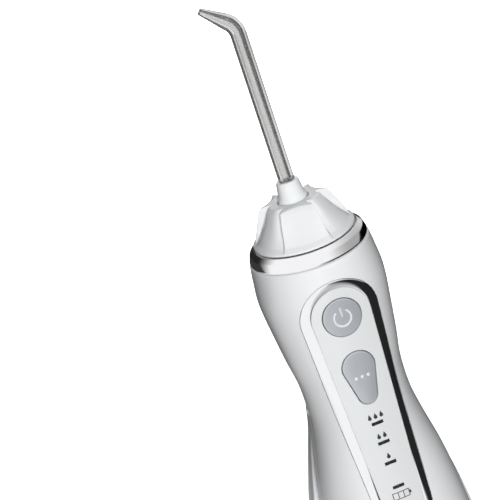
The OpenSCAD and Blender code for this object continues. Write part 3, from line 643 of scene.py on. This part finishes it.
def lip_rings(point, angles):
    """Rounded upper edge of the housing, just under the collar ring."""
    rings = []
    for down, inset in ((0.7, 0), (0.35, 0.07), (0.12, 0.24), (0, 0.5)):
        z = SHELL_TOP - down
        rings.append(housing_ring(lambda a, h, g, e=inset: point(a, h, max(g, e)), angles, z, z))
    return rings


def nudge(angles):
    """Keeps the front half's end angles on the front side."""
    return [min(359.999, max(180.001, a)) for a in angles]


def prism(outline, low, high, place):
    return build("cutter", [loft([lifted(outline, low), lifted(outline, high)])], place)


def make_shells():
    angles = nudge(edge_angles(180))
    heights = spread(SHELL_LOW, SHELL_TOP - 1.5, 120)
    rings = [housing_ring(handle_point, angles, z, z) for z in heights] + lip_rings(handle_point, angles)
    front = build("front_housing", [band(rings)])
    panel_hole = prism(taper_outline(*BEZEL_R, PANEL_START, PANEL_LEN), -14, 6, PANEL_FRAME)
    port_place = Matrix.Translation((0, -40, 40)) @ Matrix.Rotation(math.radians(-90), 4, "X")
    port_hole = prism(rect_outline(16, 8, 3.9), 0, 30, port_place)
    dress(boolean(front, [panel_hole, port_hole]), "white_gloss", "handle", "front_shell")

    angles = edge_angles(0)
    low = [housing_ring(lower_point, angles, z, z) for z in spread(SHELL_LOW, SHELF_Z - 1, 60)]
    shelf = [
        housing_ring(lower_point, angles, SHELF_Z, SHELF_Z + WALL),
        housing_ring(handle_point, angles, SHELF_Z, SHELF_Z + WALL),
    ]
    high = [housing_ring(handle_point, angles, z, z) for z in spread(SHELF_Z + WALL + 1, SHELL_TOP - 1.5, 60)]
    rear = build("rear_housing", [band(low + shelf + high + lip_rings(handle_point, angles))])
    turn = Matrix.Rotation(math.radians(-90), 4, "X")
    port_place = Matrix.Translation((PORT_AT[0], 0, PORT_AT[1])) @ turn
    port = prism(rect_outline(10.2, 10.2, 5.09, 12), 0, 12, port_place)
    eject = prism(rect_outline(10.2, 10.2, 5.09, 12), 0, 20, Matrix.Translation((0, 12, EJECT_Z)) @ turn)
    dress(boolean(rear, [port, eject]), "white_gloss", "handle", "rear_shell")


def make_ring():
    ring = turned("collar_ring", [
        (15, RING_TOP, 0.2), (15, RING_LOW), (17, RING_LOW - 0.3), (18.4, RING_LOW - 0.3),
        (18.6, RING_LOW), (21.0, RING_LOW, 0.25), (21.15, RING_LOW + 0.6, 0.4), (20.3, RING_TOP - 1.4, 1.2),
        (18.75, RING_TOP, 0.35),
    ], steps=160, sharp=50)
    dress(ring, "chrome_trim", "handle", "chrome_ring")


def make_bezel():
    counts = (72, 40, 56, 40)
    outer = taper_outline(BEZEL_R[0] - 0.12, BEZEL_R[1] - 0.12, PANEL_START, PANEL_LEN, counts)
    inner = taper_outline(*INNER_R, PANEL_START, PANEL_LEN, counts)
    rings = []
    for (ox, oy), (ix, iy) in zip(outer, inner):
        low, high = skin_out(ox, oy) + 0.12, face_out(ix) + 0.3
        section = [(ox, oy, low - 2.5), (ox, oy, low - 0.25)]
        for t in spread(0, 1, 11):
            edge = 0.18 * (1 - (2 * t - 1) ** 8)
            crown = 0.28 * math.sin(math.pi * t)
            place = t * 0.96 + 0.02
            section.append((
                ox + (ix - ox) * place, oy + (iy - oy) * place,
                low - 0.1 + (high - low) * t + edge + crown,
            ))
        section += [(ix, iy, high - 0.25), (ix, iy, -2.6)]
        rings.append(section)
    bezel = build("bezel", [skin(rings, closed_rows=True)], PANEL_FRAME, 50)
    dress(bezel, "chrome_trim", "handle", "panel_bezel")


def make_panel():
    xs, ys = spread(-INNER_R[0] - 1, INNER_R[0] + 1, 45), spread(PANEL_START + 11, PANEL_START - 84, 90)
    n = len(xs)
    top = [(x, y, face_out(x)) for y in ys for x in xs]
    under = [(x, y, -2.6) for y in ys for x in xs]
    faces = []
    for r in range(len(ys) - 1):
        for c in range(n - 1):
            a = r * n + c
            faces += [[a, a + 1, a + n + 1, a + n], [k + len(top) for k in (a + n, a + n + 1, a + 1, a)]]
    rim = list(range(n)) + [r * n + n - 1 for r in range(1, len(ys))]
    rim += list(range(len(top) - 2, len(top) - n - 1, -1)) + [r * n for r in range(len(ys) - 2, 0, -1)]
    m = len(rim)
    faces += [[rim[i], rim[i] + len(top), rim[(i + 1) % m] + len(top), rim[(i + 1) % m]] for i in range(m)]
    plate = build("panel_plate", [(top + under, faces)], PANEL_FRAME)
    inner = taper_outline(INNER_R[0] - 0.05, INNER_R[1] - 0.05, PANEL_START, PANEL_LEN)
    boolean(plate, [prism(inner, -4, 3, PANEL_FRAME)], "INTERSECT")
    hole_r = POWER_R + KEY_GAP
    power = prism(rect_outline(2 * hole_r, 2 * hole_r, hole_r - 0.001, 20), -5, 5, PANEL_FRAME)
    mode_r = [r + KEY_GAP for r in MODE_R]
    mode = prism(taper_outline(*mode_r, MODE_TOP, MODE_TOP - MODE_LOW, (32, 8, 24, 8)), -5, 5, PANEL_FRAME)
    slots = [
        prism(rect_outline(*SLOT_SIZE, 0.1, 2), -5, 5, PANEL_FRAME @ Matrix.Translation((0, y, 0)))
        for y in LIGHT_ROWS
    ]
    boolean(plate, [power, mode, *slots])
    dress(soften(plate, 0.12, 2), "panel_gloss", "handle", "control_panel")


def raised(name, parts, place, body):
    """A mark that stands up from a key, coloured lighter than the key as a painted highlight."""
    mark = build(name, parts, place, 40)
    mark.data.materials.append(RAISED_HIGHLIGHT)
    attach(mark, body)


def make_keys():
    face = 0.3
    profile = [
        (0.001, -2.9), (POWER_R, -2.9), (POWER_R, face, 0.55), (POWER_R * 0.5, face + 0.16, 3),
        (0.001, face + 0.2),
    ]
    power = build("power_key", [lathe(rounded(profile, 8), 96)], PANEL_FRAME, 40)
    dress(power, "key_silver", "power_key", "power_button")
    section = ((-0.38, -0.05), (-0.33, 0.3), (-0.16, 0.42), (0.16, 0.42), (0.33, 0.3), (0.38, -0.05))
    arc = []
    for a in spread(125, 415, 60):
        t = math.radians(a)
        arc.append([
            ((SYMBOL_R + dr) * math.cos(t), (SYMBOL_R + dr) * math.sin(t), face + dz) for dr, dz in section
        ])
    stroke = slab(
        lambda g: [(x, y + 2.2) for x, y in rect_outline(0.6 + 2 * g, 3.6 + 2 * g, 0.28 + g, 4)],
        [(face - 0.05, 0), (face + 0.3, 0), (face + 0.42, -0.1)],
    )
    raised("power_symbol", [loft(arc), stroke], PANEL_FRAME, "power_key")

    span = MODE_TOP - MODE_LOW

    def outline(grow):
        return taper_outline(MODE_R[0] + grow, MODE_R[1] + grow, 0, span, (40, 12, 32, 12))

    levels = soft_levels(-2.9, face, 0, 0.55, 6) + [(face + 0.12, -1.6), (face + 0.2, -3)]
    place = PANEL_FRAME @ Matrix.Translation((0, MODE_TOP, 0))
    dress(build("mode_key", [slab(outline, levels)], place, 40), "key_silver", "mode_key", "mode_button")
    dot_levels = [(face - 0.1, 0), (face + 0.32, 0), (face + 0.45, -0.14), (face + 0.5, -0.35)]

    def dot(x0):
        def grown(g):
            return [(x + x0, y - 3.6) for x, y in rect_outline(1.2 + 2 * g, 1.2 + 2 * g, 0.59 + g, 5)]

        return slab(grown, dot_levels)

    dots = [dot(2.2 * k) for k in (-1, 0, 1)]
    raised("mode_dots", dots, place, "mode_key")

    turn = Matrix.Translation((0, 0, EJECT_Z)) @ Matrix.Rotation(math.radians(-90), 4, "X")
    eject = turned("eject_key", [
        (0.001, 17), (5.6, 17, 0.1), (5.6, 18.2, 0.1), (4.8, 18.2), (4.8, 23.8, 0.6), (2.5, 24.1, 2),
        (0.001, 24.1),
    ], turn, 72)
    dress(eject, "key_grey", "eject_key", "eject_button")


def on_face(outline, x0, y0, low=-0.03, high=0.03):
    """A thin printed mark that follows the panel's curve."""
    rings = [[(x + x0, y + y0, face_out(x + x0) + z) for x, y in outline] for z in (low, high)]
    return loft(rings)


def drop_outline(h):
    """A water drop, point up."""
    points = []
    for a in spread(-220, 40, 14):
        t = math.radians(a)
        points.append((0.3 * h * math.cos(t), 0.3 * h * math.sin(t) - 0.16 * h))
    return points + [(0, 0.54 * h)]


def make_marks():
    marks = []
    for row, count in zip(LIGHT_ROWS, (3, 2, 1)):
        for k in range(count):
            marks.append(on_face(drop_outline(DROP_H), DROP_PITCH * (k - (count - 1) / 2), row + DROP_RISE))
    y, w, h, line = LIGHT_ROWS[-1] - 3.6, 6.0, 2.6, 0.3
    bars = [(0, h / 2, w + line, line), (0, -h / 2, w + line, line), (w / 2 + 0.45, 0, 0.6, 1.2)]
    bars += [(w * (k / 3 - 0.5), 0, line, h) for k in range(4)]
    for x0, y0, bw, bh in bars:
        pieces = math.ceil(bw / 0.65)
        for k in range(pieces):
            x = x0 + bw * ((k + 0.5) / pieces - 0.5)
            marks.append(on_face(rect_outline(bw / pieces, bh, 0.05, 1), x, y + y0))
    obj = build("panel_marks", marks, PANEL_FRAME)
    obj.data.materials.append(INK)
    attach(obj, "handle")


def base_outline(inset):
    front = [handle_point(a, 2, inset) for a in nudge(spread(180, 360, 61))]
    back = [lower_point(a, 2, inset) for a in spread(0, 180, 61)]
    return back[:-1] + front[:-1]


def make_base():
    cap = build("base_plate", [
        loft([lifted(base_outline(g), z) for z, g in (
            (1.1, 1.4), (1.2, 1.0), (1.6, 0.7), (2.2, 0.6), (2.95, 0.6))]),
    ])
    dress(cap, "white_gloss", "handle", "base_cap")
    pad = build("foot_rubber", [
        loft([lifted(base_outline(g), z) for z, g in ((0, 3.6), (0.25, 3.25), (0.6, 3.2), (1.1, 3.2))]),
    ])
    dress(pad, "seal_black", "handle", "foot_pad")


# ---------------------------------------------------------------- knob and tip
# (radius, height over the knob's lower edge, rounding) between the grips and on a grip's standing edge
KNOB_CONE = [
    (15.6, 0, 0), (18.05, 0, 0.3), (18.1, 0.8, 0.4), (16.5, 2.2, 0.8), (14.9, 4.5, 3), (12.4, 8.3, 4),
    (10.3, 11.8, 2), (9.2, 13.2, 0.6), (8.4, 13.5, 0.3), (5.7, 13.5, 0.2), (5.7, 1.2, 0), (14.5, 1.2, 0),
]
KNOB_CREST = [
    (15.6, 0, 0), (18.05, 0, 0.3), (18.1, 0.9, 0.4), (16.8, 2.4, 0.8), (15.7, 5.2, 3), (14.3, 8.8, 4),
    (13, 11.6, 2), (12.1, 13.2, 0.5), (9.3, 13.5, 0.5), (5.7, 13.5, 0.2), (5.7, 1.2, 0), (14.5, 1.2, 0),
]
# (degrees from a grip's middle, share of the way from cone to crest)
KNOB_RISE = [
    (0, 0), (10, 0.1), (15, 0.26), (20, 0.5), (25, 0.86), (27.2, 1), (28.2, 0.9), (30.2, -0.3),
    (33, -0.3), (42, 0), (60, 0),
]


def make_knob():
    """Cone with three broad flat grips that stand up along their two side edges."""
    rings = []
    steps = 480
    for k in range(steps):
        angle = 360 * k / steps
        away = abs((angle - FIN_PHASE - GRIP_TURN / 4) % GRIP_TURN - GRIP_TURN / 2)
        rise = smooth(KNOB_RISE, away)
        outline = [
            (a + (c - a) * rise, KNOB_LOW + b + (d - b) * rise, e + (f - e) * rise)
            for (a, b, e), (c, d, f) in zip(KNOB_CONE, KNOB_CREST)
        ]
        x, y = math.cos(math.radians(angle)), math.sin(math.radians(angle))
        rings.append([(r * x, r * y, z) for r, z in rounded(outline, 4)])
    knob = build("nozzle_knob", [skin(rings, closed_rows=True)], sharp=60)
    dress(knob, "white_gloss", "knob", "rotator_knob")


def make_ferrule():
    low = HANDLE_H - 17.7
    ferrule = turned("tip_socket", [
        (BORE_R, low), (2.7, low, 0.2), (3.1, low + 1), (3.1, KNOB_LOW + 8.3), (4.6, KNOB_LOW + 8.3),
        (5.2, KNOB_LOW + 9, 0.2), (5.2, KNOB_TOP + 0.5, 0.4), (4.6, KNOB_TOP + 2.2, 1.5),
        (4.05, FERRULE_TOP - 0.9, 0.8), (3.75, FERRULE_TOP, 0.25), (TIP_R, FERRULE_TOP),
        (TIP_R, KNOB_TOP - 2), (BORE_R, KNOB_TOP - 2),
    ], steps=96, sharp=40)
    dress(ferrule, "ferrule_white", "tip", "tip_ferrule")


def make_shank():
    """Clear tube with a fine bore, bent over and drawn to a jet at its end."""
    stations = [(Vector((0, 0, z)), 0, TIP_R, BORE_R) for z in spread(KNOB_TOP - 1.9, HOOK_START, 24)]
    for a in spread(0, HOOK_ANGLE, 20)[1:]:
        t = math.radians(a)
        bend = Vector((BEND_R * math.cos(t) - BEND_R, 0, HOOK_START + BEND_R * math.sin(t)))
        stations.append((bend, t, TIP_R, BORE_R))
    t = math.radians(HOOK_ANGLE)
    ahead = Vector((-math.sin(t), 0, math.cos(t)))
    bend_end = stations[-1][0]
    for f in spread(0, 1, 16)[1:]:
        outer, bore = TIP_R + (JET_R - TIP_R) * f, BORE_R + (JET_BORE_R - BORE_R) * f
        stations.append((bend_end + ahead * HOOK_LEN * f, t, outer, bore))
    sides = 48

    def ring(station, r):
        centre, turn = station[:2]
        across = Vector((math.cos(turn), 0, math.sin(turn)))
        points = []
        for k in range(sides):
            a = 2 * math.pi * k / sides
            points.append(tuple(centre + across * r * math.cos(a) + Vector((0, r * math.sin(a), 0))))
        return points

    outside = [ring(s, s[2]) for s in stations]
    inside = [ring(s, s[3]) for s in reversed(stations)]
    end = stations[-1]
    lip = [ring((end[0] + ahead * 0.12, *end[1:]), 1.05), ring((end[0] + ahead * 0.12, *end[1:]), 0.6)]
    shank = build("tip_tube", [skin(outside + lip + inside, closed_rows=True)], sharp=50)
    dress(shank, "tip_clear", "tip", "tip_shank")


# ---------------------------------------------------------------- reservoir and door
def make_tank():
    def ring(z, inset):
        angles = [360 * k / 140 for k in range(140)]
        return [(*tank_point(a, z, inset), z) for a in angles]

    def levels(low, high, base, edge):
        arc = spread(0, math.pi / 2, 7)
        bottom = [(low + edge * (1 - math.sin(t)), base + edge * (1 - math.cos(t))) for t in reversed(arc)]
        top = [(high - edge * (1 - math.sin(t)), base + edge * (1 - math.cos(t))) for t in arc]
        return bottom + [(z, base) for z in spread(low + edge + 1, high - edge - 1, 80)] + top

    tank = build("water_tank", [loft([ring(z, g) for z, g in levels(TANK_LOW, TANK_TOP, 0, 1.2)])])
    inner = build("cutter", [loft([
        ring(z, g) for z, g in levels(TANK_LOW + TANK_WALL, TANK_TOP - TANK_WALL, TANK_WALL, 1)])])
    mouth = prism(neck_outline(1.95), -12, 18, DOOR_FRAME)
    turn = Matrix.Translation((PORT_AT[0], 0, PORT_AT[1])) @ Matrix.Rotation(math.radians(-90), 4, "X")
    port = prism(rect_outline(9, 9, 4.49, 12), 0, 12.2, turn)
    dress(boolean(tank, [inner, mouth, port]), "tank_white", "reservoir", "reservoir_tank")


def hinge_barrel(x0, x1, r, bore=0):
    """A round piece along the hinge line, with a bore if one is given."""
    turn = Matrix.Translation((0, HINGE_Y, HINGE_OUT)) @ Matrix.Rotation(math.radians(90), 4, "Y")
    corners = [(max(bore, 0.001), x0), (r, x0, 0.15), (r, x1, 0.15), (max(bore, 0.001), x1)]
    points, faces = lathe(rounded(corners, 3), 48)
    return [tuple(turn @ Vector(p)) for p in points], faces


def make_door():
    neck = [slab(neck_outline, soft_levels(-7, 0.8, 1.9, 0.3))]
    collar = build("fill_collar", neck, DOOR_FRAME)
    boolean(collar, [prism(neck_outline(0), -9, 3, DOOR_FRAME)])
    for s in (-1, 1):
        foot = [(x + s * LUG_X, y + HINGE_Y + 0.3) for x, y in rect_outline(LUG_W, 4.2, 0.3, 3)]
        lug = prism(foot, -1.6, HINGE_OUT, DOOR_FRAME)
        knuckle = hinge_barrel(s * LUG_X - LUG_W / 2, s * LUG_X + LUG_W / 2, 1.8)
        boolean(lug, [build("cutter", [knuckle], DOOR_FRAME)], "UNION")
        bore = hinge_barrel(s * LUG_X - 2, s * LUG_X + 2, 1.0)
        boolean(lug, [build("cutter", [bore], DOOR_FRAME)])
        boolean(collar, [lug], "UNION")
    dress(collar, "white_gloss", "reservoir", "fill_neck")

    def shifted(grow):
        return [(x, y + 0.2) for x, y in neck_outline(grow)]

    lid = build("fill_lid", [slab(shifted, [
        (1.1, 1.4), (1.25, 1.6), (2.2, 1.6), (2.5, 1.35), (2.75, 0.6), (2.9, -0.6), (3.0, -2.6), (3.0, -4.5),
    ])], DOOR_FRAME)
    hinge = build("cutter", [slab(
        lambda g: [(x, y + HINGE_Y + 2.5) for x, y in rect_outline(12.6, 5, 0.3, 3)],
        [(1.6, 0), (2.9, 0)],
    )], DOOR_FRAME)
    barrel = build("cutter", [hinge_barrel(-6.3, 6.3, 1.8)], DOOR_FRAME)
    tab = build("cutter", [slab(
        lambda g: [(x, y + 11.2) for x, y in rect_outline(10 + 2 * g, 2.8 + 2 * g, 1.2 + g, 4)],
        [(1.1, -0.1), (1.25, 0), (2.1, 0), (2.4, -0.25)],
    )], DOOR_FRAME)
    boolean(lid, [hinge, barrel, tab], "UNION")
    boolean(lid, [build("cutter", [hinge_barrel(-7, 7, 1.05)], DOOR_FRAME)])
    dress(lid, "white_gloss", "door", "fill_door")

    pin = build("hinge_rod", [hinge_barrel(-9.1, 9.1, 0.98)], DOOR_FRAME)
    dress(pin, "pin_steel", "reservoir", "door_hinge_pin")


def dress_frame():
    """The CAD pieces that keep their own shape get their finish from the record's slots."""
    for sub in frame["record"]["subparts"]:
        obj = frame["nodes"][sub["node"]]
        obj.data.materials.clear()
        obj.data.materials.append(FINISH[sub["material_slot"]])
        obj.data.shade_smooth()
        obj.data.set_sharp_from_angle(angle=math.radians(30))


add_camera()
add_world()
add_light("key", (-0.12, -1.8, 0.7), (0, 0, 0.18), (0.6, 0.5), 34)
add_light("top", (0.0, -0.1, 1.7), (0, 0, 0.2), (0.9, 0.9), 1.5)
add_light("back", (0.35, 1.8, 1.0), (0, 0, 0.15), (1.4, 1.0), 42)
add_floor()
dress_frame()
make_shells()
make_ring()
make_bezel()
make_panel()
make_keys()
make_marks()
make_base()
make_knob()
make_ferrule()
make_shank()
make_tank()
make_door()
bpy.context.scene.view_settings.view_transform = "Standard"
